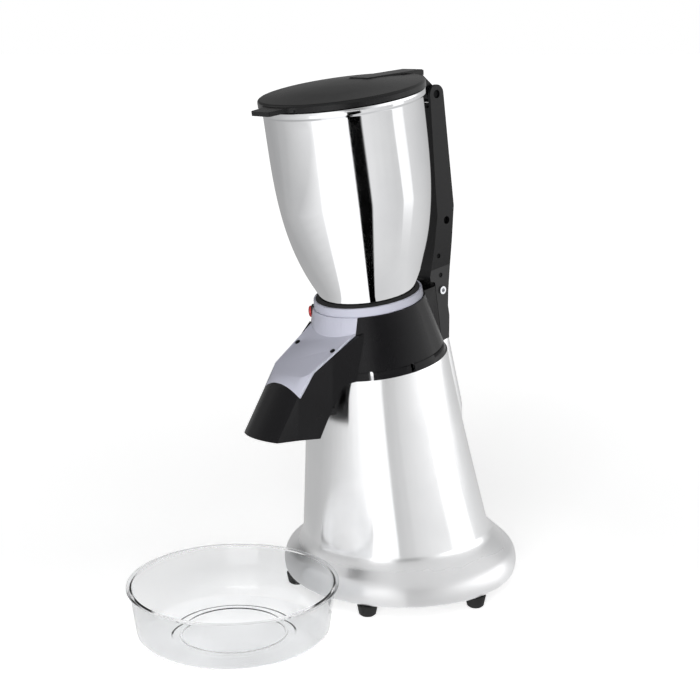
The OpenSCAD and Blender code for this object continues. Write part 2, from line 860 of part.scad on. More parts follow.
module cooling_fan() {
    color([0.2, 0.2, 0.22]) leaning() {
        tube(13, shaft_r, 74, 92);
        difference() {
            ring_of([for (i = [0 : 7]) 45 * i], 0) rotate([0, 0, 18])
                translate([-1, -38, 76]) cube([2, 26.5, 14]);
            translate([0, 0, 70]) cylinder(r = 12, h = 30);
        }
    }
}

module ejector() {
    color([0.92, 0.92, 0.9]) leaning() {
        tube(11, 6, 252.4, 276);
        difference() {
            ring_of([for (i = [0 : vane_count - 1]) 360 / vane_count * i], 0)
                translate([-1.5, -42.5, 252.8]) cube([3, 33, 21.2]);
            translate([0, 0, 240]) cylinder(r = 10.5, h = 50);
        }
    }
}

module cutter_disc() {
    color(steel) leaning() difference() {
        tube(disc_r, 6, 276, 279);
        for (i = [0 : knife_count - 1]) rotate([0, 0, 360 / knife_count * i]) {
            translate([-40, 4, 275]) cube([27, 5, 6]);
            for (x = [-34, -19]) translate([x, -4, 275]) cylinder(r = 1.5, h = 6);
        }
    }
}

module knives() {
    color([0.8, 0.81, 0.83]) leaning() for (i = [0 : knife_count - 1]) rotate([0, 0, 360 / knife_count * i])
        difference() {
            across(-41, -12) polygon([
                [-10, 279], [3, 279], [5.5, 281], [3.5, 281], [1.5, 280.4], [-10, 280.4]
            ]);
            for (x = [-34, -19]) translate([x, -4, 275]) cylinder(r = 1.55, h = 8);
        }
}

module knife_screws() {
    color(steel) leaning() for (i = [0 : knife_count - 1]) rotate([0, 0, 360 / knife_count * i])
        for (x = [-34, -19]) {
            translate([x, -4, 276]) cylinder(r = 1.45, h = 4.5);
            translate([x, -4, 280.4]) cylinder(r = 2.6, h = 1.2);
        }
}

module hub_nut() {
    color(steel) leaning() difference() {
        union() {
            translate([0, 0, 279]) cylinder(r = 10.5, h = 2);
            translate([0, 0, 281 - eps]) cylinder(r = 9, h = 8, $fn = 6);
            translate([0, 0, 289 - eps]) rotate_extrude() polygon(concat([[0, 0]], arc([0, 0], 7, 0, 90, 8)));
        }
        translate([0, 0, 270]) cylinder(r = 6.02, h = 15);
    }
}

module catch_bowl() {
    wall = 2.2;
    corner = 9;
    base_r = 79;
    ribs = [57, 40, 24];
    outer = concat(
        [[base_r, 0]],
        arc([base_r, corner], corner, -80, -6, 6),
        [[92.3, bowl_h - 3.5], [bowl_r, bowl_h - 2.5], [bowl_r, bowl_h]]
    );
    inner = concat(
        [[92.3 - wall, bowl_h], [92.3 - wall, bowl_h - 3.5]],
        arc([base_r, corner], corner - wall, -6, -84, 6)
    );
    step = [for (r = ribs) each [[r + 1.4, wall], [r + 0.9, wall + 1], [r - 0.9, wall + 1], [r - 1.4, wall]]];
    color([0.85, 0.88, 0.9, 0.4]) translate([0, -bowl_y, 0]) rotate_extrude()
        polygon(concat([[0, 0]], outer, inner, step, [[0, wall]]));
}

base_casting();
base_cover();
rubber_feet();
foot_screws();
cable_gland();
motor_housing();
stator_core();
stator_windings();
upper_bell();
lower_bell();
motor_screws();
bearings();
run_capacitor();
capacitor_clip();
chamber_floor();
shaft_seal();
chamber_liner();
collar_housing();
spout_cover();
cover_screws();
clamp_ring();
hopper_gasket();
hopper();
right_post();
left_post();
post_bolt();
post_screw();
hinge_pin();
lid_switch();
switch_screws();
button_bezel();
button_switch();
motor_shaft();
rotor_core();
cooling_fan();
ejector();
cutter_disc();
knives();
knife_screws();
hub_nut();
lid();
interlock_rod();
switch_plunger();
start_button();
catch_bowl();
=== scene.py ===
import json
import math
import bmesh
import bpy
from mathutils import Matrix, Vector


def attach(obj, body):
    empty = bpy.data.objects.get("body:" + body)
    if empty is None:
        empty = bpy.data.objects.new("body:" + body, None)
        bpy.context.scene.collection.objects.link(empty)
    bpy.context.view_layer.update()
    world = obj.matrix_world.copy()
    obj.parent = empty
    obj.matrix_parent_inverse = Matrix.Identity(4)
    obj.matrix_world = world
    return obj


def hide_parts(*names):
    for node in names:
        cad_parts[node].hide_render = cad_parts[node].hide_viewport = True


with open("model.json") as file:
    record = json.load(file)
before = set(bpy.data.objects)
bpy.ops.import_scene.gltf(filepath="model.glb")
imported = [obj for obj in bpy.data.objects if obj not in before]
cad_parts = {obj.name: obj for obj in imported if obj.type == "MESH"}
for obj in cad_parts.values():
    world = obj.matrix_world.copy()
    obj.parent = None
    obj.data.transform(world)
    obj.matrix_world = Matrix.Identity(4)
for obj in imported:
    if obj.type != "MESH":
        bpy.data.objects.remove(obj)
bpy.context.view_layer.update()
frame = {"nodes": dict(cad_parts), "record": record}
nodes = frame["nodes"]
bodyOfNode = {n: b for b, names in frame["record"]["behaviour"]["bodies"].items() for n in names}
slotOfNode = {p["node"]: p["material_slot"] for p in frame["record"]["subparts"]}
print("frame loaded,", len(nodes), "CAD nodes")

leanAxis = {"tilt": math.radians(9.8), "footY": 5.8}  # hopper, collar and motor share it, in mm


def leaned(x, y, s):  # leaning frame in mm to world metres
    c, k = math.cos(leanAxis["tilt"]), math.sin(leanAxis["tilt"])
    return Vector((x, leanAxis["footY"] + y * c - s * k, y * k + s * c)) / 1000


def upright(x, y, z):  # upright frame in mm to world metres
    return Vector((x, y, z)) / 1000


def rounded(outline, steps=5):  # closed outline of (r, h, corner radius)
    out = []
    n = len(outline)
    for i in range(n):
        p = Vector(outline[i][:2])
        a = Vector(outline[i - 1][:2]) - p
        b = Vector(outline[(i + 1) % n][:2]) - p
        r = outline[i][2] if len(outline[i]) > 2 else 0
        if r <= 0 or a.length < 1e-6 or b.length < 1e-6:
            out.append((p.x, p.y))
            continue
        half = a.angle(b) / 2
        cut = min(r / math.tan(half), a.length * 0.49, b.length * 0.49)
        p0, p1 = p + a.normalized() * cut, p + b.normalized() * cut
        for k in range(steps + 1):
            t = k / steps
            q = p0 * (1 - t) ** 2 + p * 2 * t * (1 - t) + p1 * t * t
            out.append((q.x, q.y))
    return out


def meshFrom(name, verts, faces):
    mesh = bpy.data.meshes.new(name)
    mesh.from_pydata([tuple(v) for v in verts], [], faces)
    bm = bmesh.new()
    bm.from_mesh(mesh)
    bmesh.ops.remove_doubles(bm, verts=bm.verts, dist=1e-7)
    bmesh.ops.recalc_face_normals(bm, faces=bm.faces)
    bm.to_mesh(mesh)
    bm.free()
    return mesh


def spun(name, outline, turns, place):  # closed (r, h) outline spun into a shell
    verts, faces, rows = [], [], []
    for r, h in outline:
        if r < 1e-6:
            rows.append([len(verts)] * turns)
            verts.append(place(0, 0, h))
            continue
        rows.append([len(verts) + k for k in range(turns)])
        for k in range(turns):
            a = 2 * math.pi * k / turns
            verts.append(place(r * math.cos(a), r * math.sin(a), h))
    for i in range(len(rows)):
        lower, upper = rows[i], rows[(i + 1) % len(rows)]
        if lower[0] == lower[-1] and upper[0] == upper[-1]:
            continue
        for k in range(turns):
            m = (k + 1) % turns
            ring = [lower[k], lower[m], upper[m], upper[k]]
            face = [v for j, v in enumerate(ring) if v not in ring[:j]]
            if len(face) > 2:
                faces.append(face)
    return meshFrom(name, verts, faces)


def linked(name, data):  # object put in the scene
    piece = bpy.data.objects.new(name, data)
    bpy.context.scene.collection.objects.link(piece)
    return piece


def showPiece(name, mesh, nodeName, material):  # painted, and riding in place of its CAD node
    piece = linked(name, mesh)
    mesh.materials.clear()
    mesh.materials.append(material)
    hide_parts(nodeName)
    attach(piece, bodyOfNode[nodeName])


def smooth(mesh, sharp=None):  # smooth faces, crisp where they turn by more than sharp degrees
    mesh.polygons.foreach_set("use_smooth", [True] * len(mesh.polygons))
    if sharp:
        mesh.set_sharp_from_angle(angle=math.radians(sharp))


def pressSpine(bm, press):  # lowers the lid's raised spine towards the dome, as in the photo
    c, k = math.cos(leanAxis["tilt"]), math.sin(leanAxis["tilt"])
    edgeS, domeRise, domeR = press["dome"]
    for vert in bm.verts:
        x, y, z = vert.co * 1000
        back = y - leanAxis["footY"]
        across, s = back * c + z * k, z * c - back * k
        dome = edgeS + domeRise * max(0.0, 1 - (x * x + across * across) / domeR ** 2)
        if abs(x) < press["half"] and across > press["from"] - 1 and s > dome + press["clear"]:
            t = min(1.0, max(0.0, (across - press["from"]) / (press["to"] - press["from"])))
            vert.co = leaned(x, across, s - press["depth"] * t)


mergeLook = {"gap": 2e-6, "flat": math.radians(0.4), "weight": 80}  # how a CAD node's copy is merged


def softened(nodeName, material, edge):  # merged copy of a CAD node with rounded or crisp edges
    k = mergeLook
    source = nodes[nodeName]
    mesh = source.data.copy()
    mesh.transform(source.matrix_world)
    bm = bmesh.new()
    bm.from_mesh(mesh)
    bmesh.ops.remove_doubles(bm, verts=bm.verts, dist=k["gap"])
    bmesh.ops.dissolve_limit(bm, angle_limit=k["flat"], verts=bm.verts, edges=bm.edges)
    if "press" in edge:
        pressSpine(bm, edge["press"])
    bm.to_mesh(mesh)
    bm.free()
    piece = linked(nodeName + "Soft", mesh)
    smooth(mesh, None if "width" in edge else edge["angle"])
    if "width" in edge:
        bevel = piece.modifiers.new("edge", "BEVEL")
        bevel.width = edge["width"] / 1000
        bevel.segments = edge["steps"]
        bevel.limit_method = "ANGLE"
        bevel.angle_limit = math.radians(edge["angle"])
        bevel.miter_outer = "MITER_ARC"
    if edge.get("even", True):
        weight = piece.modifiers.new("even", "WEIGHTED_NORMAL")
        weight.keep_sharp = True
        weight.weight = k["weight"]
    shown = piece.evaluated_get(bpy.context.evaluated_depsgraph_get())
    final = bpy.data.meshes.new_from_object(shown)
    bpy.data.objects.remove(piece)
    showPiece(nodeName + "Moulded", final, nodeName, material)


def newGroup(name, inputs, outputs):
    tree = bpy.data.node_groups.new(name, "ShaderNodeTree")
    for label, kind, value in inputs:
        tree.interface.new_socket(name=label, in_out="INPUT", socket_type=kind).default_value = value
    for label, kind in outputs:
        tree.interface.new_socket(name=label, in_out="OUTPUT", socket_type=kind)
    return tree, tree.nodes.new("NodeGroupInput"), tree.nodes.new("NodeGroupOutput")


def noise(tree, vector, scale, detail, rough=0.5):
    node = tree.nodes.new("ShaderNodeTexNoise")
    node.inputs["Detail"].default_value = detail
    node.inputs["Roughness"].default_value = rough
    tree.links.new(vector, node.inputs["Vector"])
    if isinstance(scale, (int, float)):
        node.inputs["Scale"].default_value = scale
    else:
        tree.links.new(scale, node.inputs["Scale"])
    return node


def ramped(tree, value, low, high, toLow=0.0, toHigh=1.0):
    node = tree.nodes.new("ShaderNodeMapRange")
    node.inputs["From Min"].default_value = low
    node.inputs["From Max"].default_value = high
    node.inputs["To Min"].default_value = toLow
    node.inputs["To Max"].default_value = toHigh
    tree.links.new(value, node.inputs["Value"])
    return node.outputs["Result"]


grainLook = {
    "scuffTurn": (0.5, 0.3, 0.8), "scuffScale": (420, 40, 90), "scuffRange": (0.62, 0.78),
    "cloudRange": (0.3, 0.7),
}


def grainGroup():  # moulded or cast skin: fine grain, slow clouds and a few scuffs
    k = grainLook
    tree, inside, out = newGroup(
        "mouldedSkin",
        [("Grain Scale", "NodeSocketFloat", 1800.0), ("Cloud Scale", "NodeSocketFloat", 22.0)],
        [("Grain", "NodeSocketFloat"), ("Cloud", "NodeSocketFloat"), ("Scuff", "NodeSocketFloat")],
    )
    where = tree.nodes.new("ShaderNodeTexCoord").outputs["Object"]
    fine = noise(tree, where, inside.outputs["Grain Scale"], 2)
    cloud = noise(tree, where, inside.outputs["Cloud Scale"], 4, 0.55)
    stretch = tree.nodes.new("ShaderNodeMapping")
    stretch.inputs["Rotation"].default_value = k["scuffTurn"]
    stretch.inputs["Scale"].default_value = k["scuffScale"]
    tree.links.new(where, stretch.inputs["Vector"])
    scuff = noise(tree, stretch.outputs["Vector"], 1.0, 3, 0.65)
    tree.links.new(fine.outputs["Fac"], out.inputs["Grain"])
    tree.links.new(ramped(tree, cloud.outputs["Fac"], *k["cloudRange"]), out.inputs["Cloud"])
    tree.links.new(ramped(tree, scuff.outputs["Fac"], *k["scuffRange"]), out.inputs["Scuff"])
    return tree


polishLook = {"flat": (0.012, 0.012, 1.0), "smearScale": 16, "smearRange": (0.35, 0.68)}


def polishGroup():  # polishing lines round the leaning axis, with faint smears
    k = polishLook
    tree, inside, out = newGroup(
        "polishedSkin",
        [("Line Scale", "NodeSocketFloat", 900.0), ("Tilt", "NodeSocketFloat", 0.0)],
        [("Lines", "NodeSocketFloat"), ("Smear", "NodeSocketFloat")],
    )
    where = tree.nodes.new("ShaderNodeTexCoord").outputs["Object"]
    turn = tree.nodes.new("ShaderNodeVectorRotate")
    turn.rotation_type = "X_AXIS"
    tree.links.new(where, turn.inputs["Vector"])
    tree.links.new(inside.outputs["Tilt"], turn.inputs["Angle"])
    flat = tree.nodes.new("ShaderNodeMapping")
    flat.inputs["Scale"].default_value = k["flat"]
    tree.links.new(turn.outputs["Vector"], flat.inputs["Vector"])
    lines = noise(tree, flat.outputs["Vector"], inside.outputs["Line Scale"], 5, 0.7)
    smear = noise(tree, where, k["smearScale"], 5, 0.6)
    tree.links.new(lines.outputs["Fac"], out.inputs["Lines"])
    tree.links.new(ramped(tree, smear.outputs["Fac"], *k["smearRange"]), out.inputs["Smear"])
    return tree


mouldedSkin = grainGroup()
polishedSkin = polishGroup()


def startMaterial(name):
    material = bpy.data.materials.new(name)
    material.use_nodes = True
    tree = material.node_tree
    return material, tree, tree.nodes["Principled BSDF"]


def skinNode(tree, group, scales):  # the shared skin with a finish's own scales
    node = tree.nodes.new("ShaderNodeGroup")
    node.node_tree = group
    for label, value in scales.items():
        node.inputs[label].default_value = value
    return node


def colourInto(tree, shader, factor, look):
    node = tree.nodes.new("ShaderNodeMix")
    node.data_type = "RGBA"
    tree.links.new(factor, node.inputs["Factor"])
    node.inputs[6].default_value = (*look["dark"], 1)
    node.inputs[7].default_value = (*look["light"], 1)
    tree.links.new(node.outputs[2], shader.inputs["Base Color"])


def roughFrom(tree, marks, share, clouds, look):  # roughness from slow clouds, with a share of the marks
    node = tree.nodes.new("ShaderNodeMath")
    node.operation = "MULTIPLY_ADD"
    node.inputs[1].default_value = share
    tree.links.new(marks, node.inputs[0])
    tree.links.new(ramped(tree, clouds, 0, 1, *look["rough"]), node.inputs[2])
    return node.outputs["Value"]


def bumpInto(tree, shader, height, look):
    bump = tree.nodes.new("ShaderNodeBump")
    bump.inputs["Strength"].default_value = look["bump"]
    bump.inputs["Distance"].default_value = look["depth"]
    tree.links.new(height, bump.inputs["Height"])
    tree.links.new(bump.outputs["Normal"], shader.inputs["Normal"])


def mouldedPlastic(look):  # injection moulded or rubber skin
    material, tree, shader = startMaterial(look["name"])
    skin = skinNode(tree, mouldedSkin, {"Grain Scale": look["grain"], "Cloud Scale": look["cloud"]})
    colourInto(tree, shader, skin.outputs["Cloud"], look)
    rough = roughFrom(tree, skin.outputs["Scuff"], look["scuff"], skin.outputs["Cloud"], look)
    tree.links.new(rough, shader.inputs["Roughness"])
    shader.inputs["Specular IOR Level"].default_value = look.get("gloss", 0.5)
    if "coat" in look:
        coat, coatRough = look["coat"]
        shader.inputs["Coat Weight"].default_value = coat
        shader.inputs["Coat Roughness"].default_value = coatRough
    bumpInto(tree, shader, skin.outputs["Grain"], look)
    return material


def bareMetal(look):  # polished, turned or cast metal
    material, tree, shader = startMaterial(look["name"])
    shader.inputs["Metallic"].default_value = 1.0
    skin = skinNode(tree, polishedSkin, {"Line Scale": look["lines"], "Tilt": -leanAxis["tilt"]})
    colourInto(tree, shader, skin.outputs["Smear"], look)
    rough = roughFrom(tree, skin.outputs["Lines"], look["lineRough"], skin.outputs["Smear"], look)
    if "satin" in look:  # less polished towards the foot
        height = tree.nodes.new("ShaderNodeSeparateXYZ")
        tree.links.new(tree.nodes.new("ShaderNodeTexCoord").outputs["Object"], height.inputs["Vector"])
        dull = tree.nodes.new("ShaderNodeMath")
        tree.links.new(rough, dull.inputs[0])
        tree.links.new(ramped(tree, height.outputs["Z"], *look["satin"]), dull.inputs[1])
        rough = dull.outputs["Value"]
    tree.links.new(rough, shader.inputs["Roughness"])
    if "stretch" in look:  # polishing runs round the piece, so highlights stretch upwards
        shader.inputs["Anisotropic"].default_value = look["stretch"]
        upwards = tree.nodes.new("ShaderNodeCombineXYZ")
        upwards.inputs["Z"].default_value = 1.0
        tree.links.new(upwards.outputs["Vector"], shader.inputs["Tangent"])
    if "bump" in look:
        bumpInto(tree, shader, skin.outputs["Lines"], look)
    return material


def clearPlastic(look):  # bowl wall
    material, tree, shader = startMaterial(look["name"])
    shader.inputs["Transmission Weight"].default_value = 1.0
    shader.inputs["IOR"].default_value = look["ior"]
    skin = skinNode(tree, mouldedSkin, {"Grain Scale": look["grain"], "Cloud Scale": look["cloud"]})
    colourInto(tree, shader, skin.outputs["Cloud"], look)
    tree.links.new(ramped(tree, skin.outputs["Scuff"], 0, 1, *look["rough"]), shader.inputs["Roughness"])
    bumpInto(tree, shader, skin.outputs["Grain"], look)
    return material


finishes = {
    "mirrorSteel": bareMetal({
        "name": "mirrorSteel", "dark": (0.82, 0.825, 0.84), "light": (0.87, 0.875, 0.885),
        "lines": 1500, "rough": (0.035, 0.07), "lineRough": 0.03, "bump": 0.03, "depth": 0.0001,
    }),
    "polishedAluminium": bareMetal({
        "name": "polishedAluminium", "dark": (0.86, 0.865, 0.875), "light": (0.91, 0.912, 0.92),
        "lines": 700, "rough": (0.14, 0.17), "lineRough": 0.03, "stretch": 0.85,
        "satin": (0.03, 0.06, 0.18, 0.0),  # from and to height in metres, extra roughness there
    }),
    "turnedSteel": bareMetal({
        "name": "turnedSteel", "dark": (0.6, 0.61, 0.63), "light": (0.7, 0.71, 0.73),
        "lines": 2200, "rough": (0.22, 0.3), "lineRough": 0.12, "bump": 0.12, "depth": 0.0002,
    }),
    "laminatedIron": bareMetal({
        "name": "laminatedIron", "dark": (0.3, 0.3, 0.32), "light": (0.42, 0.42, 0.43),
        "lines": 1600, "rough": (0.4, 0.5), "lineRough": 0.15, "bump": 0.4, "depth": 0.0004,
    }),
    "windingCopper": bareMetal({
        "name": "windingCopper", "dark": (0.5, 0.2, 0.08), "light": (0.68, 0.33, 0.14),
        "lines": 1300, "rough": (0.3, 0.38), "lineRough": 0.15, "bump": 0.5, "depth": 0.0005,
    }),
    "blackMoulding": mouldedPlastic({
        "name": "blackMoulding", "dark": (0.0025, 0.0024, 0.003), "light": (0.0045, 0.0044, 0.005),
        "grain": 1500, "cloud": 18, "rough": (0.42, 0.5), "scuff": 0.08, "bump": 0.1, "depth": 0.0002,
        "gloss": 0.42,
    }),
    "housingMoulding": mouldedPlastic({
        "name": "housingMoulding", "dark": (0.0022, 0.0021, 0.0028), "light": (0.0042, 0.004, 0.0048),
        "grain": 1400, "cloud": 18, "rough": (0.24, 0.28), "scuff": 0.06, "bump": 0.06, "depth": 0.0002,
        "gloss": 0.19,
    }),
    "lidMoulding": mouldedPlastic({
        "name": "lidMoulding", "dark": (0.003, 0.003, 0.0034), "light": (0.0055, 0.0055, 0.006),
        "grain": 1200, "cloud": 20, "rough": (0.26, 0.31), "scuff": 0.06, "bump": 0.1, "depth": 0.0003,
        "gloss": 0.3,
    }),
    "lavenderMoulding": mouldedPlastic({
        "name": "lavenderMoulding", "dark": (0.485, 0.492, 0.575), "light": (0.51, 0.516, 0.6),
        "grain": 1700, "cloud": 16, "rough": (0.34, 0.42), "scuff": 0.06, "bump": 0.1, "depth": 0.00022,
    }),
    "whiteMoulding": mouldedPlastic({
        "name": "whiteMoulding", "dark": (0.74, 0.74, 0.72), "light": (0.8, 0.8, 0.78),
        "grain": 1700, "cloud": 16, "rough": (0.36, 0.44), "scuff": 0.06, "bump": 0.1, "depth": 0.0002,
    }),
    "redButton": mouldedPlastic({
        "name": "redButton", "dark": (0.4, 0.022, 0.022), "light": (0.46, 0.03, 0.028),
        "grain": 2400, "cloud": 60, "rough": (0.2, 0.26), "scuff": 0.08, "bump": 0.04, "depth": 0.0001,
        "coat": (0.3, 0.12),
    }),
    # near-black: black-oxide steel, and partly painted shade, as it darkens the hinge pin and screws
    # sitting in shaded holes
    "blackenedSteel": mouldedPlastic({
        "name": "blackenedSteel", "dark": (0.0016, 0.0016, 0.002), "light": (0.003, 0.003, 0.0034),
        "grain": 2600, "cloud": 90, "rough": (0.44, 0.52), "scuff": 0.1, "bump": 0.1, "depth": 0.0001,
        "gloss": 0.12,
    }),
    "blackRubber": mouldedPlastic({
        "name": "blackRubber", "dark": (0.008, 0.008, 0.008), "light": (0.014, 0.014, 0.014),
        "grain": 1100, "cloud": 40, "rough": (0.62, 0.75), "scuff": 0.1, "bump": 0.25, "depth": 0.0003,
        "gloss": 0.35,
    }),
    "clearPlastic": clearPlastic({
        "name": "clearPlastic", "dark": (0.79, 0.795, 0.8), "light": (0.85, 0.855, 0.86), "ior": 1.27,
        "grain": 60, "cloud": 14, "rough": (0.012, 0.06), "bump": 0.05, "depth": 0.0004,
    }),
}
slotFinish = {
    "polished_aluminium": "polishedAluminium", "mirror_steel": "mirrorSteel", "plain_steel": "turnedSteel",
    "black_steel": "blackenedSteel", "laminated_iron": "laminatedIron", "winding_copper": "windingCopper",
    "black_plastic": "blackMoulding", "lavender_plastic": "lavenderMoulding",
    "white_plastic": "whiteMoulding", "red_plastic": "redButton", "clear_plastic": "clearPlastic",
    "black_rubber": "blackRubber",
}
# the interlock rod is painted black as painted shade, where its top shows in shade behind the post; the
# collar and lid take their own gloss and roughness
ownFinish = {"collar_housing": "housingMoulding", "lid": "lidMoulding", "interlock_rod": "blackMoulding"}


def finishOf(nodeName):
    return finishes[ownFinish.get(nodeName, slotFinish[slotOfNode[nodeName]])]


for nodeName, node in nodes.items():
    node.data.materials.clear()
    node.data.materials.append(finishOf(nodeName))
print("finishes made:", len(finishes))

hopperLook = {
    "mouth": 44.1, "wall": 72.3, "rim": 74.8, "sheet": 1.2, "rows": 90, "turns": 240,
    "curve": (300, 155), "rise": (302, 466), "flangeR": 48.5, "flange": (296.5, 297.8), "neck": 299,
    "bead": (474, 476), "top": 481, "inset": 0.4, "sharp": 38,
}


def hopperWall(s):
    begin, run = hopperLook["curve"]
    u = min(1.0, (s - begin) / run)
    return hopperLook["wall"] - (hopperLook["wall"] - hopperLook["mouth"]) * (1 - u) ** 3


def hopperPiece():
    k = hopperLook
    (low, high), (flangeLow, flangeTop), (beadLow, beadTop) = k["rise"], k["flange"], k["bead"]
    wallIn, rimIn = k["wall"] - k["sheet"], k["rim"] - k["sheet"]
    heights = [low + (high - low) * i / k["rows"] for i in range(k["rows"] + 1)]
    outer = [(k["flangeR"], flangeLow), (k["flangeR"], flangeTop)]
    outer += [(hopperWall(k["neck"]) + k["inset"], flangeTop, 0.5)]
    outer += [(hopperWall(s), s) for s in heights]
    outer += [(k["wall"], beadLow, 2), (k["rim"], beadTop, 1.6), (k["rim"], k["top"], 0.8)]
    inner = [(rimIn, k["top"], 0.4), (rimIn, beadTop + k["inset"], 1.6), (wallIn, beadLow + k["inset"], 2)]
    inner += [(hopperWall(s) - k["sheet"], s + 0.2) for s in reversed(heights)]
    inner += [(k["mouth"] - k["sheet"], flangeLow)]
    mesh = spun("hopperShell", rounded(outer + inner), k["turns"], leaned)
    smooth(mesh, k["sharp"])
    showPiece("hopperShell", mesh, "hopper", finishes["mirrorSteel"])


castingLook = {
    "ringR": 115, "draft": 1.6, "wallTop": 27, "shoulderR": 13, "shoulderTurn": 48,
    "fillet": 19.5, "footY": 1.6, "lean": math.radians(8.2), "taper": 0.137, "topR": 67, "refS": 235,
    "wall": 5.5, "deckTop": 234, "deckLow": 222, "spigotTop": 247, "spigotR": 60.4, "turns": 240,
    "swell": [(48, 14, 16, 10), (14, -16, 26.4, 10), (-16, -90, 4.8, 8)],  # angles, radius, steps
    "straight": (60, 225), "spigotIn": 55, "bore": 26, "throat": (55.5, 206), "innerZ": (190, 120, 40),
    "skirt": ((96, 38), (109.5, 26), (109.5, 11.5)), "filletSteps": 18, "columnSteps": 12, "sharp": 40,
}


def columnR(s):
    return castingLook["topR"] + castingLook["taper"] * (castingLook["refS"] - s)


def columnSkin(a, z, inset=0.0):  # distance from the upright axis in direction a
    k = castingLook
    c = k["footY"] - z * math.tan(k["lean"])
    r = columnR(z / math.cos(k["lean"])) - inset
    return c * math.sin(a) + math.sqrt(r * r - (c * math.cos(a)) ** 2)


def bow(centre, r, start, stop, n):
    return [
        (centre[0] + r * math.cos(math.radians(start + (stop - start) * i / n)),
         centre[1] + r * math.sin(math.radians(start + (stop - start) * i / n)))
        for i in range(n + 1)
    ]


def castingRow(a):  # one meridian of the casting's outside, from the ring's edge to the deck
    k = castingLook
    turn = math.radians(k["shoulderTurn"])
    reachR = k["ringR"] - k["draft"] - k["shoulderR"]
    ring = [(reachR + k["shoulderR"] * math.cos(turn), k["wallTop"] + k["shoulderR"] * math.sin(turn))]
    for begin, end, r, n in k["swell"]:  # worn round by polishing, inside the solid's outline
        b = math.radians(begin)
        ring += bow((ring[-1][0] - r * math.cos(b), ring[-1][1] - r * math.sin(b)), r, begin, end, n)[1:]
    ring.reverse()
    slope = Vector((-math.sin(turn), math.cos(turn)))
    low, high = [Vector((columnSkin(a, z), z)) for z in k["straight"]]
    rise = (high - low).normalized()
    leanIn = math.degrees(math.atan2(-rise.x, rise.y))
    start = Vector(ring[-1]) + k["fillet"] * Vector((slope.y, -slope.x))
    side = low + k["fillet"] * Vector((rise.y, -rise.x))
    t = ((side - start).x * rise.y - (side - start).y * rise.x) / (slope.x * rise.y - slope.y * rise.x)
    centre = start + slope * t
    fillet = bow((centre.x, centre.y), k["fillet"], 180 + k["shoulderTurn"], 180 + leanIn, k["filletSteps"])
    tilt = leanAxis["tilt"]
    reach = leanAxis["footY"] - low.x * math.sin(a)
    run = rise.x / rise.y
    topZ = (k["deckTop"] - (reach + run * low.y * math.sin(a)) * math.sin(tilt)) / (
        math.cos(tilt) - run * math.sin(a) * math.sin(tilt))
    last = Vector(fillet[-1])
    top = low + rise * (topZ - low.y) / rise.y
    column = [tuple(last.lerp(top, (i + 1) / k["columnSteps"])) for i in range(k["columnSteps"])]
    return ring + fillet + column


def castingPiece():
    k = castingLook
    turns = k["turns"]
    throatR, throatLow = k["throat"]
    deck = [
        (k["spigotR"], k["deckTop"]), (k["spigotR"], k["spigotTop"]), (k["spigotIn"], k["spigotTop"]),
        (k["spigotIn"], k["deckTop"]), (k["bore"], k["deckTop"]), (k["bore"], k["deckLow"]),
        (throatR, k["deckLow"]), (throatR, throatLow),
    ]
    verts, faces = [], []
    for i in range(turns):
        a = 2 * math.pi * i / turns
        ca, sa = math.cos(a), math.sin(a)
        inside = [(columnSkin(a, z, k["wall"]), z) for z in k["innerZ"]] + list(k["skirt"])
        verts += [upright(r * ca, r * sa, z) for r, z in castingRow(a)]
        verts += [leaned(r * ca, r * sa, s) for r, s in deck]
        verts += [upright(r * ca, r * sa, z) for r, z in inside]
    perRow = len(verts) // turns
    for i in range(turns):
        m = (i + 1) % turns
        for j in range(perRow):
            n = (j + 1) % perRow
            faces.append([i * perRow + j, m * perRow + j, m * perRow + n, i * perRow + n])
    mesh = meshFrom("castingShell", verts, faces)
    both = bmesh.new()
    both.from_mesh(mesh)
    both.from_mesh(bossMesh())
    both.to_mesh(mesh)
    both.free()
    smooth(mesh, k["sharp"])
    showPiece("castingShell", mesh, "base_casting", finishes["polishedAluminium"])


bossLook = {
    "y": 76.3, "top": 228, "r": 15, "length": 115, "turn": math.radians(186.4), "cut": 64,
    "slope": math.radians(26.6), "corner": 1.2, "firstRing": 4, "rings": 10, "turns": 96, "edge": 0.0006,
}


def bossPlace(x, y, h):  # rear boss under the post, h runs down along it
    k = bossLook
    c, s = math.cos(k["turn"]), math.sin(k["turn"])
    return leaned(x, k["y"] + y * c - h * s, k["top"] + y * s + h * c)


def bossMesh():  # round boss with a sloping lower end
    k = bossLook
    begin, rings = k["firstRing"], k["rings"]
    outline = [(0, 0), (k["r"], 0, k["corner"])]
    outline += [(k["r"], begin + (k["length"] - begin) * i / rings) for i in range(rings + 1)]
    outline += [(0, k["length"])]
    mesh = spun("boss", rounded(outline), k["turns"], bossPlace)
    bm = bmesh.new()
    bm.from_mesh(mesh)
    foot = bossPlace(0, -k["r"], k["cut"])
    out = bossPlace(0, -k["r"] - math.cos(k["slope"]), k["cut"] + math.sin(k["slope"])) - foot
    whole = bm.verts[:] + bm.edges[:] + bm.faces[:]
    cut = bmesh.ops.bisect_plane(bm, geom=whole, plane_co=foot, plane_no=out.normalized(), clear_outer=True)
    rim = [e for e in cut["geom_cut"] if isinstance(e, bmesh.types.BMEdge)]
    bmesh.ops.holes_fill(bm, edges=rim, sides=0)
    bmesh.ops.bevel(bm, geom=rim, offset=k["edge"], segments=2, profile=0.5, affect="EDGES")
    bmesh.ops.recalc_face_normals(bm, faces=bm.faces)
    bm.to_mesh(mesh)
    bm.free()
    return mesh


bowlLook = {
    "centreY": -206, "lip": 95.4, "height": 48.5, "base": 79, "corner": 9, "wall": 1.8, "lift": 0.4,
    "side": 92.3, "recess": (54, 56, 1.2), "ridge": 47, "bendOut": (-80, -6, 14), "bendIn": (-6, -84, 14),
    "turns": 200, "sharp": 60,
}


def bowlPlace(x, y, z):
    return upright(x, y + bowlLook["centreY"], z)


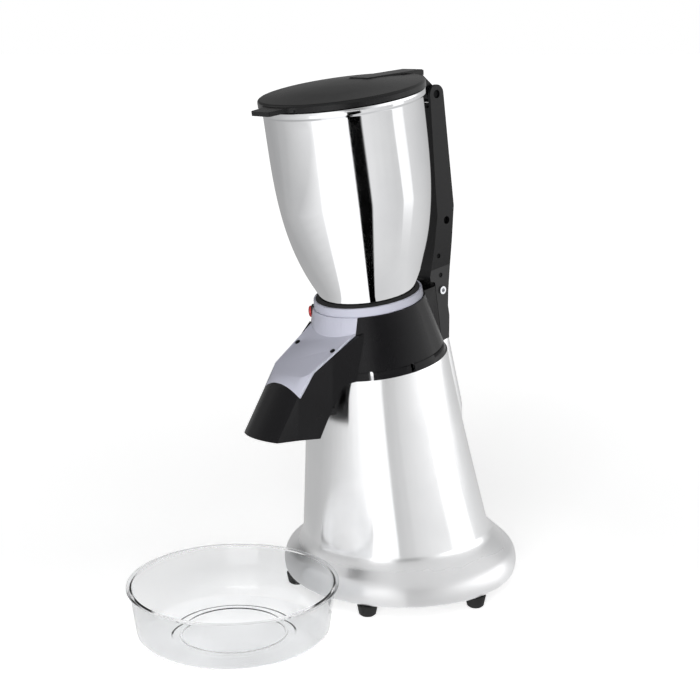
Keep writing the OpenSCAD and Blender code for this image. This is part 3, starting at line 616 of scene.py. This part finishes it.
def bowlPiece():
    k = bowlLook
    w, h, r = k["wall"], k["height"], k["ridge"]
    recessIn, recessOut, recessZ = k["recess"]
    outer = [(0, recessZ), (recessIn, recessZ, 1), (recessOut, k["lift"], 0.8), (k["base"], k["lift"])]
    outer += bow((k["base"], k["corner"]), k["corner"] - k["lift"], *k["bendOut"])
    outer += [(k["side"], h - 2.2, 0.8), (k["lip"], h - 1.6, 0.4), (k["lip"], h - 0.2, 0.3)]
    inner = [(k["side"] - w, h - 0.2, 0.5), (k["side"] - w, h - 3.5)]
    inner += bow((k["base"], k["corner"]), k["corner"] - w, *k["bendIn"])
    inner += [(r + 1.4, w, 0.4), (r + 0.9, w + 1, 0.4), (r - 0.9, w + 1, 0.4), (r - 1.4, w, 0.4), (0, w)]
    mesh = spun("bowlShell", rounded(outer + inner), k["turns"], bowlPlace)
    smooth(mesh, k["sharp"])
    showPiece("bowlShell", mesh, "catch_bowl", finishes["clearPlastic"])


footLook = {
    "count": 6, "circle": 104.3, "top": 10, "height": 11.5, "bore": 2.7, "headR": 4.5, "headZ": 5,
    "facets": 56, "sharp": 45,
}


def footShape():
    k = footLook
    outline = [(k["bore"], k["height"]), (k["bore"], k["headZ"])]
    outline += [(k["headR"], k["headZ"]), (k["headR"], 0, 0.4)]
    outline += [(k["top"] - 4, 0, 0.8), (k["top"] - 2, 1.6, 1.2), (k["top"], k["height"], 0.5)]
    return linked("footShape", spun("footShape", rounded(outline, 3), k["facets"], upright))


def feetRing():  # six feet set on a circle
    k = footLook
    tree = bpy.data.node_groups.new("feetOnCircle", "GeometryNodeTree")
    socket = tree.interface.new_socket
    foot = socket(name="Foot", in_out="INPUT", socket_type="NodeSocketObject").identifier
    count = socket(name="Count", in_out="INPUT", socket_type="NodeSocketInt").identifier
    radius = socket(name="Circle", in_out="INPUT", socket_type="NodeSocketFloat").identifier
    paint = socket(name="Rubber", in_out="INPUT", socket_type="NodeSocketMaterial").identifier
    socket(name="Geometry", in_out="OUTPUT", socket_type="NodeSocketGeometry")
    make = tree.nodes.new
    inside, out = make("NodeGroupInput"), make("NodeGroupOutput")
    circle = make("GeometryNodeMeshCircle")
    shape = make("GeometryNodeObjectInfo")
    place = make("GeometryNodeInstanceOnPoints")
    real = make("GeometryNodeRealizeInstances")
    coat = make("GeometryNodeSetMaterial")
    join = tree.links.new
    join(inside.outputs["Count"], circle.inputs["Vertices"])
    join(inside.outputs["Circle"], circle.inputs["Radius"])
    join(inside.outputs["Foot"], shape.inputs["Object"])
    join(circle.outputs["Mesh"], place.inputs["Points"])
    join(shape.outputs["Geometry"], place.inputs["Instance"])
    join(place.outputs["Instances"], real.inputs["Geometry"])
    join(real.outputs["Geometry"], coat.inputs["Geometry"])
    join(inside.outputs["Rubber"], coat.inputs["Material"])
    join(coat.outputs["Geometry"], out.inputs["Geometry"])
    holder = linked("feetHolder", bpy.data.meshes.new("feetHolder"))
    shapeObject = footShape()
    ring = holder.modifiers.new("feet", "NODES")
    ring.node_group = tree
    ring[foot] = shapeObject
    ring[count] = k["count"]
    ring[radius] = k["circle"] / 1000
    ring[paint] = finishes["blackRubber"]
    mesh = bpy.data.meshes.new_from_object(holder.evaluated_get(bpy.context.evaluated_depsgraph_get()))
    bpy.data.objects.remove(holder)
    bpy.data.objects.remove(shapeObject)
    smooth(mesh, k["sharp"])
    showPiece("rubberFeetRing", mesh, "rubber_feet", finishes["blackRubber"])


hopperPiece()
castingPiece()
bowlPiece()
feetRing()
print("hopper, casting, bowl and feet made")

edges = {  # with no width the edge stays crisp
    "collar_housing": {"angle": 14},
    "spout_cover": {"width": 0.5, "steps": 3, "angle": 34, "even": False},
    "clamp_ring": {"width": 0.6, "steps": 3, "angle": 34},
    "right_post": {"width": 1.0, "steps": 3, "angle": 34},
    "left_post": {"width": 1.0, "steps": 3, "angle": 34},
    "lid": {"angle": 30, "press": {
        "half": 12.4, "from": 22, "to": 82, "depth": 1.8, "dome": (487.9, 5.6, 71.6), "clear": 0.25,
    }},
    "hopper_gasket": {"width": 0.3, "steps": 2, "angle": 34},
    "start_button": {"width": 0.5, "steps": 3, "angle": 34},
    "button_bezel": {"width": 0.4, "steps": 2, "angle": 34},
    "post_bolt": {"width": 0.4, "steps": 2, "angle": 34},
}
for nodeName, edge in edges.items():
    softened(nodeName, finishOf(nodeName), edge)
print("moulded pieces softened:", len(edges))

studio = {
    "floor": 60.0, "floorColour": (0.86, 0.86, 0.86), "floorGlow": (0.72, 1.0), "worldGlow": 0.06,
    "floorRise": (0.3, 1.3), "floorRough": 0.9, "floorGloss": 0.1, "target": (0, -0.03, 0.24),
    "camera": (0.936, -0.8797, 0.5225), "aim": (-0.7362, 0.6395, -0.2215), "lens": 70.02, "sensor": 36,
    "sight": 50,
}


def mixByRay(tree, plain, seen):  # camera, glossy and transmission rays see the pale background
    path = tree.nodes.new("ShaderNodeLightPath")
    sees = path.outputs["Is Camera Ray"]
    for ray in ("Is Glossy Ray", "Is Transmission Ray"):
        either = tree.nodes.new("ShaderNodeMath")
        either.operation = "MAXIMUM"
        tree.links.new(sees, either.inputs[0])
        tree.links.new(path.outputs[ray], either.inputs[1])
        sees = either.outputs["Value"]
    mix = tree.nodes.new("ShaderNodeMixShader")
    tree.links.new(sees, mix.inputs["Fac"])
    tree.links.new(plain, mix.inputs[1])
    tree.links.new(seen, mix.inputs[2])
    return mix.outputs["Shader"]


def paleFloor():
    half = studio["floor"]
    mesh = bpy.data.meshes.new("paleFloor")
    corners = [(-half, -half, 0), (half, -half, 0), (half, half, 0), (-half, half, 0)]
    mesh.from_pydata(corners, [], [(0, 1, 2, 3)])
    floor = linked("paleFloor", mesh)
    material, tree, shader = startMaterial("paleFloor")
    shader.inputs["Base Color"].default_value = (*studio["floorColour"], 1)
    shader.inputs["Roughness"].default_value = studio["floorRough"]
    shader.inputs["Specular IOR Level"].default_value = studio["floorGloss"]
    glow = tree.nodes.new("ShaderNodeEmission")
    away = tree.nodes.new("ShaderNodeVectorMath")  # glow rises away from the object: white background
    away.operation = "LENGTH"
    tree.links.new(tree.nodes.new("ShaderNodeTexCoord").outputs["Object"], away.inputs[0])
    risen = ramped(tree, away.outputs["Value"], *studio["floorRise"], *studio["floorGlow"])
    tree.links.new(risen, glow.inputs["Strength"])
    both = tree.nodes.new("ShaderNodeAddShader")
    tree.links.new(shader.outputs["BSDF"], both.inputs[0])
    tree.links.new(glow.outputs["Emission"], both.inputs[1])
    tree.links.new(mixByRay(tree, shader.outputs["BSDF"], both.outputs["Shader"]),
                   tree.nodes["Material Output"].inputs["Surface"])
    mesh.materials.append(material)


def paleWorld():
    world = bpy.data.worlds.new("paleWorld")
    bpy.context.scene.world = world
    world.use_nodes = True
    tree = world.node_tree
    soft = tree.nodes["Background"]
    soft.inputs["Strength"].default_value = studio["worldGlow"]
    soft.inputs["Color"].default_value = (1, 1, 1, 1)
    seen = tree.nodes.new("ShaderNodeBackground")
    seen.inputs["Color"].default_value = (1, 1, 1, 1)
    seen.inputs["Strength"].default_value = 1.0
    tree.links.new(mixByRay(tree, soft.outputs["Background"], seen.outputs["Background"]),
                   tree.nodes["World Output"].inputs["Surface"])


lamps = [  # bearing counts from the camera's line, anticlockwise from above
    {"name": "frontBox", "bearing": -8, "height": 0.5, "away": 1.9, "size": (1.2, 1.0), "watts": 34},
    {"name": "sideStrip", "bearing": 86, "height": 0.6, "away": 1.6, "size": (0.4, 1.6), "watts": 4},
    {"name": "topBox", "bearing": 10, "height": 2.0, "away": 0.5, "size": (1.6, 1.6), "watts": 1.2},
]
tableCard = {  # reflector on the table: bearing and level, seen in the column, evened out near the ring
    "name": "tableCard", "z": 0.002, "radii": (0.116, 0.15, 0.26, 2.5), "even": 0.62,
    "share": (0.3, 0.3, 1.0, 1.0),
    "bands": [
        (-180, 0.52), (-97, 0.52), (-81, 0.6), (-65, 0.72), (-49, 0.9), (-33, 1.15), (-25, 1.3), (3, 1.3),
        (4, 0.66), (15, 0.72), (24, 0.82), (40, 0.88), (67, 0.84), (68, 1.35), (101, 1.35), (103, 0.88),
        (140, 0.68), (180, 0.52),
    ],
}
wallCard = {  # dome round the table: bearing, low and high level, seen in the black mouldings and the ring
    "name": "wallCard",
    "profile": ((2.6, 0.004), (2.6, 0.45), (2.5, 0.9), (1.8, 2.3), (0.9, 3.0), (0.02, 3.2)),
    "share": (0.0, 0.0, 1.0, 1.0, 1.0, 1.0),
    "bands": [
        (-180, 0.5, 0.3), (-160, 0.5, 0.16), (-136, 0.5, 0.16), (-126, 0.5, 0.24), (-116, 0.5, 0.55),
        (-106, 0.5, 0.8), (-97, 0.5, 0.75), (-81, 0.55, 0.68), (-50, 0.5, 0.7), (-33, 0.9, 0.76),
        (-25, 1.6, 0.78), (-10, 1.5, 0.78), (2, 0.3, 0.7), (22, 0.28, 0.7), (44, 0.9, 0.72),
        (60, 1.6, 0.76), (77, 2.2, 0.8), (110, 2.2, 0.8), (125, 0.9, 0.6), (140, 0.6, 0.5), (180, 0.5, 0.3),
    ],
}
hopperCard = {  # reflector under the hopper: near and far bearing, near and far level, how late it changes
    "name": "hopperCard", "inner": 45.5, "near": 50, "spread": 300, "far": 1300, "level": 300.2, "rows": 8,
    "axisY": -0.045,
    "bands": [
        (-180, -180, 0.4, 0.38, 1), (-58, -126, 0.48, 0.42, 1), (-44, -90, 0.58, 0.57, 1),
        (-34, -46, 0.7, 1.0, 1), (-33, -44, 1.25, 1.25, 1), (3, 5, 1.25, 1.25, 1), (3.5, 5.5, 0.0, 0.0, 1),
        (10, 22, 0.0, 0.0, 1), (10.5, 24, 0.7, 0.88, 1), (34, 60, 0.76, 0.72, 1), (44, 69, 0.77, 0.72, 4),
        (44.5, 70, 0.77, 1.2, 4), (54, 87, 0.78, 1.2, 4), (56, 90, 0.78, 0.8, 4), (110, 140, 0.6, 0.58, 1),
        (180, 180, 0.42, 0.42, 1),
    ],
}


def bearingPoint(degrees, away, z):
    ahead = Vector(studio["camera"])
    a = math.atan2(ahead.y, ahead.x) + math.radians(degrees)
    return Vector((away * math.cos(a), away * math.sin(a), z))


def setLamp(k):
    light = bpy.data.lights.new(k["name"], "AREA")
    light.shape = "RECTANGLE"
    light.size, light.size_y = k["size"]
    light.energy = k["watts"]
    lamp = linked(k["name"], light)
    lamp.visible_glossy = False  # metal and gloss see the reflectors instead
    lamp.location = bearingPoint(k["bearing"], k["away"], k["height"])
    lamp.rotation_euler = (Vector(studio["target"]) - lamp.location).to_track_quat("-Z", "Y").to_euler()


def finishCard(name, verts, levels, faces):  # glows for glossy rays only, on its front face
    mesh = bpy.data.meshes.new(name)
    mesh.from_pydata([tuple(v) for v in verts], [], faces)
    mesh.attributes.new("level", "FLOAT", "POINT").data.foreach_set("value", levels)
    card = linked(name, mesh)
    material, tree = startMaterial(name)[:2]
    read = tree.nodes.new("ShaderNodeAttribute")
    read.attribute_name = "level"
    glow = tree.nodes.new("ShaderNodeEmission")
    clear = tree.nodes.new("ShaderNodeBsdfTransparent")
    side = tree.nodes.new("ShaderNodeNewGeometry")
    mix = tree.nodes.new("ShaderNodeMixShader")
    tree.links.new(read.outputs["Fac"], glow.inputs["Strength"])
    tree.links.new(side.outputs["Backfacing"], mix.inputs["Fac"])
    tree.links.new(glow.outputs["Emission"], mix.inputs[1])
    tree.links.new(clear.outputs["BSDF"], mix.inputs[2])
    tree.links.new(mix.outputs["Shader"], tree.nodes["Material Output"].inputs["Surface"])
    mesh.materials.append(material)
    card.visible_camera = False
    card.visible_diffuse = False
    card.visible_shadow = False
    card.visible_transmission = False


def fineBands(bands, step=6):  # splits wide bands so that the card stays round
    out = []
    for one, two in zip(bands, bands[1:]):
        n = max(1, int(abs(two[0] - one[0]) / step))
        out += [tuple(a + (b - a) * i / n for a, b in zip(one, two)) for i in range(n)]
    return out + [bands[-1]]


def cardFaces(columns, rows):
    return [
        (i * rows + j, i * rows + j + 1, (i + 1) * rows + j + 1, (i + 1) * rows + j)
        for i in range(columns - 1) for j in range(rows - 1)
    ]


def setTableCard(k):
    bands = fineBands(k["bands"])
    verts = [bearingPoint(b, r, k["z"]) for b, level in bands for r in k["radii"]]
    levels = [k["even"] + (level - k["even"]) * share for b, level in bands for share in k["share"]]
    finishCard(k["name"], verts, levels, cardFaces(len(bands), len(k["radii"])))


def setWallCard(k):
    bands = fineBands(k["bands"])
    verts = [bearingPoint(b, r, z) for b, low, high in bands for r, z in k["profile"]]
    levels = [low + (high - low) * share for b, low, high in bands for share in k["share"]]
    finishCard(k["name"], verts, levels, cardFaces(len(bands), len(k["profile"])))


def setHopperCard(k):
    bands = fineBands(k["bands"])
    start = math.atan2(studio["camera"][1] - k["axisY"], studio["camera"][0])
    radii = [k["near"] * (k["spread"] / k["near"]) ** (j / k["rows"]) for j in range(k["rows"] + 1)]
    radii = [k["inner"]] + radii + [k["far"]]
    verts, levels = [], []
    for nearB, farB, nearLevel, farLevel, late in bands:
        for j, r in enumerate(radii):
            t = min(1.0, max(0, j - 1) / k["rows"])
            a = start + math.radians(nearB + (farB - nearB) * t)
            verts.append(leaned(r * math.cos(a), r * math.sin(a), k["level"]))
            levels.append(nearLevel + (farLevel - nearLevel) * t ** late)
    finishCard(k["name"], verts, levels, cardFaces(len(bands), len(radii)))


def setCamera():
    lens = bpy.data.cameras.new("photoCamera")
    lens.sensor_width = studio["sensor"]
    lens.lens = studio["lens"]
    lens.clip_end = studio["sight"]
    camera = linked("photoCamera", lens)
    camera.location = studio["camera"]
    camera.rotation_euler = Vector(studio["aim"]).to_track_quat("-Z", "Y").to_euler()
    bpy.context.scene.camera = camera


paleFloor()
paleWorld()
for lamp in lamps:
    setLamp(lamp)
setTableCard(tableCard)
setWallCard(wallCard)
setHopperCard(hopperCard)
setCamera()
bpy.context.scene.view_settings.view_transform = "Standard"
print("studio set")
